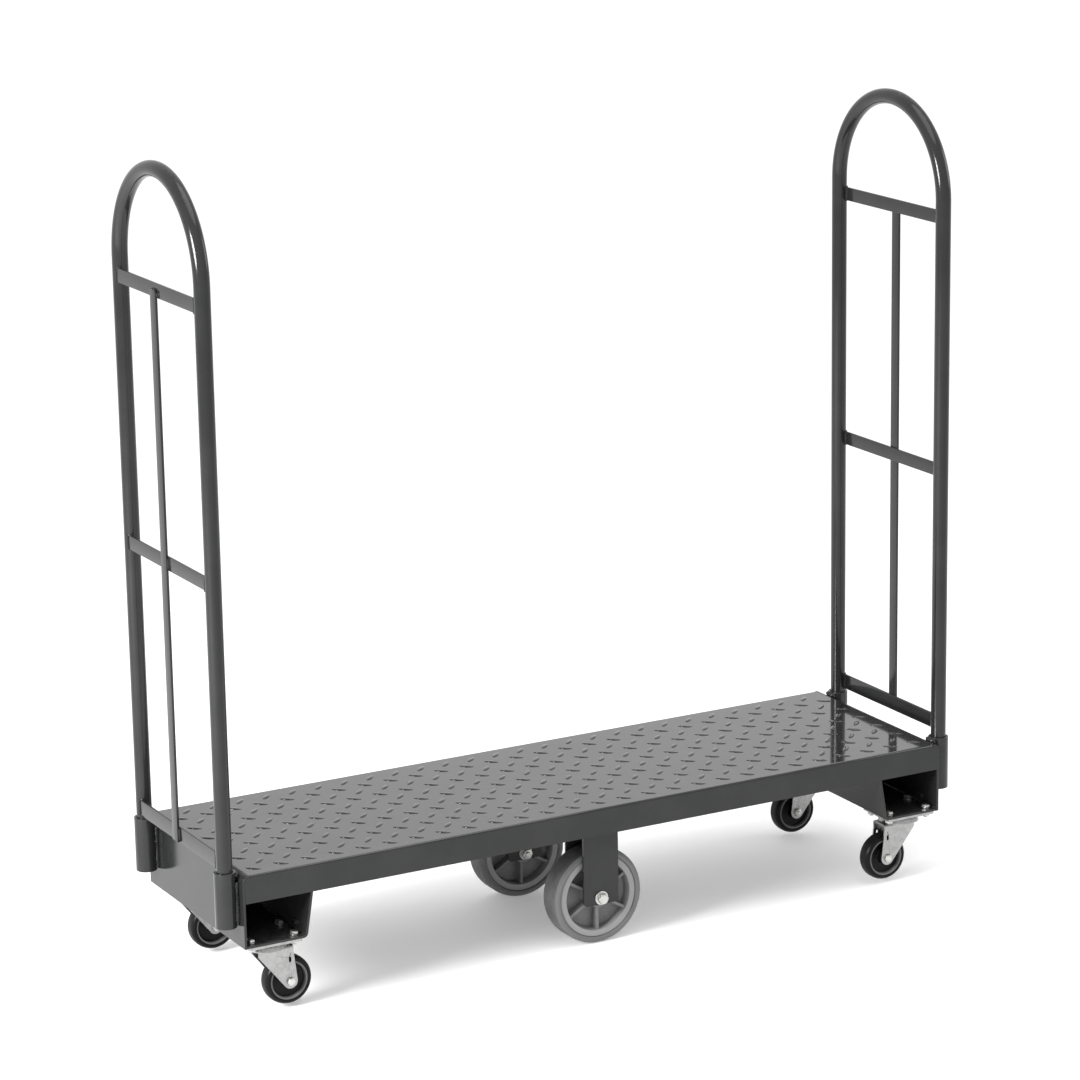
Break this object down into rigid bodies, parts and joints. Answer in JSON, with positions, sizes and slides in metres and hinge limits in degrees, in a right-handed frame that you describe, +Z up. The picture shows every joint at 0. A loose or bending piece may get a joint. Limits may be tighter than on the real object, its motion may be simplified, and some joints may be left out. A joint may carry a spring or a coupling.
{
  "type": "narrow platform cart",
  "caption": "Long narrow steel stock cart: tread-plate deck with lift-out arched handles at both ends, swivel casters at the corners and larger centre wheels.",
  "frame": {"origin": "on the floor under the middle of the deck, at the level of the centre wheels' treads", "axes": "+X along the deck towards one handle, +Y across the deck, +Z up; millimetres in the source"},
  "size_m": [1.6852, 0.457, 1.648],
  "materials": {
    "deck_paint": "dark grey gloss powder coat over raised tread pattern",
    "frame_paint": "dark grey gloss powder coat, slight orange peel",
    "handle_paint": "dark grey gloss powder coat on tube and flat bar",
    "zinc_plate": "bright zinc plated pressed steel",
    "zinc_fastener": "bright zinc plated bolts and nuts",
    "bearing_steel": "hardened steel balls",
    "bronze": "oil-filled bronze bush",
    "centre_rubber": "grey-black moulded rubber, dull",
    "centre_core": "light grey moulded wheel core",
    "caster_rubber": "black rubber, slightly shiny",
    "caster_core": "black moulded core"
  },
  "bodies": {
    "frame": {"deck_sheet": "deck_paint", "end_plate_left": "frame_paint", "end_plate_right": "frame_paint", "caster_pan_left": "frame_paint", "caster_pan_right": "frame_paint", "cross_angles": "frame_paint", "deck_ribs": "frame_paint", "wheel_bracket_near": "frame_paint", "wheel_bracket_far": "frame_paint", "centre_axle_bolt_near": "zinc_fastener", "centre_axle_bolt_far": "zinc_fastener", "centre_axle_nut_near": "zinc_fastener", "centre_axle_nut_far": "zinc_fastener", "socket_left_near": "frame_paint", "socket_left_far": "frame_paint", "socket_right_near": "frame_paint", "socket_right_far": "frame_paint", "socket_welds_left": "frame_paint", "socket_welds_right": "frame_paint", "caster_plate_left_near": "zinc_plate", "caster_plate_left_far": "zinc_plate", "caster_plate_right_near": "zinc_plate", "caster_plate_right_far": "zinc_plate", "caster_kingpin_left_near": "zinc_plate", "caster_kingpin_left_far": "zinc_plate", "caster_kingpin_right_near": "zinc_plate", "caster_kingpin_right_far": "zinc_plate", "caster_fasteners_left_near": "zinc_fastener", "caster_fasteners_left_far": "zinc_fastener", "caster_fasteners_right_near": "zinc_fastener", "caster_fasteners_right_far": "zinc_fastener", "caster_balls": "bearing_steel"},
    "swivel_left_near": {"caster_fork_left_near": "zinc_plate", "caster_axle_left_near": "zinc_fastener"},
    "caster_wheel_left_near": {"caster_tyre_left_near": "caster_rubber", "caster_core_left_near": "caster_core"},
    "swivel_left_far": {"caster_fork_left_far": "zinc_plate", "caster_axle_left_far": "zinc_fastener"},
    "caster_wheel_left_far": {"caster_tyre_left_far": "caster_rubber", "caster_core_left_far": "caster_core"},
    "swivel_right_near": {"caster_fork_right_near": "zinc_plate", "caster_axle_right_near": "zinc_fastener"},
    "caster_wheel_right_near": {"caster_tyre_right_near": "caster_rubber", "caster_core_right_near": "caster_core"},
    "swivel_right_far": {"caster_fork_right_far": "zinc_plate", "caster_axle_right_far": "zinc_fastener"},
    "caster_wheel_right_far": {"caster_tyre_right_far": "caster_rubber", "caster_core_right_far": "caster_core"},
    "centre_wheel_near": {"centre_tyre_near": "centre_rubber", "centre_core_near": "centre_core", "centre_bush_near": "bronze"},
    "centre_wheel_far": {"centre_tyre_far": "centre_rubber", "centre_core_far": "centre_core", "centre_bush_far": "bronze"},
    "handle_left": {"handle_tube_left": "handle_paint", "handle_crossbars_left": "handle_paint", "handle_upright_left": "handle_paint"},
    "handle_right": {"handle_tube_right": "handle_paint", "handle_crossbars_right": "handle_paint", "handle_upright_right": "handle_paint"}
  },
  "joints": [
    {"name": "caster_swivel_left_near", "type": "hinge", "parent": "frame", "child": "swivel_left_near", "pos_m": [-0.7335, -0.177, 0.14275], "axis": [0, 0, 1], "continuous": true},
    {"name": "caster_roll_left_near", "type": "hinge", "parent": "swivel_left_near", "child": "caster_wheel_left_near", "pos_m": [-0.6925, -0.177, 0.058], "axis": [0, 1, 0], "continuous": true},
    {"name": "caster_swivel_left_far", "type": "hinge", "parent": "frame", "child": "swivel_left_far", "pos_m": [-0.7335, 0.177, 0.14275], "axis": [0, 0, 1], "continuous": true},
    {"name": "caster_roll_left_far", "type": "hinge", "parent": "swivel_left_far", "child": "caster_wheel_left_far", "pos_m": [-0.6925, 0.177, 0.058], "axis": [0, 1, 0], "continuous": true},
    {"name": "caster_swivel_right_near", "type": "hinge", "parent": "frame", "child": "swivel_right_near", "pos_m": [0.7335, -0.177, 0.14275], "axis": [0, 0, 1], "continuous": true},
    {"name": "caster_roll_right_near", "type": "hinge", "parent": "swivel_right_near", "child": "caster_wheel_right_near", "pos_m": [0.6925, -0.177, 0.058], "axis": [0, 1, 0], "continuous": true},
    {"name": "caster_swivel_right_far", "type": "hinge", "parent": "frame", "child": "swivel_right_far", "pos_m": [0.7335, 0.177, 0.14275], "axis": [0, 0, 1], "continuous": true},
    {"name": "caster_roll_right_far", "type": "hinge", "parent": "swivel_right_far", "child": "caster_wheel_right_far", "pos_m": [0.6925, 0.177, 0.058], "axis": [0, 1, 0], "continuous": true},
    {"name": "centre_roll_near", "type": "hinge", "parent": "frame", "child": "centre_wheel_near", "pos_m": [0, -0.161, 0.1], "axis": [0, 1, 0], "continuous": true},
    {"name": "centre_roll_far", "type": "hinge", "parent": "frame", "child": "centre_wheel_far", "pos_m": [0, 0.161, 0.1], "axis": [0, 1, 0], "continuous": true},
    {"name": "handle_lift_left", "type": "slide", "parent": "frame", "child": "handle_left", "axis": [0, 0, 1], "range_m": [0, 0.15]},
    {"name": "handle_lift_right", "type": "slide", "parent": "frame", "child": "handle_right", "axis": [0, 0, 1], "range_m": [0, 0.15]}
  ]
}
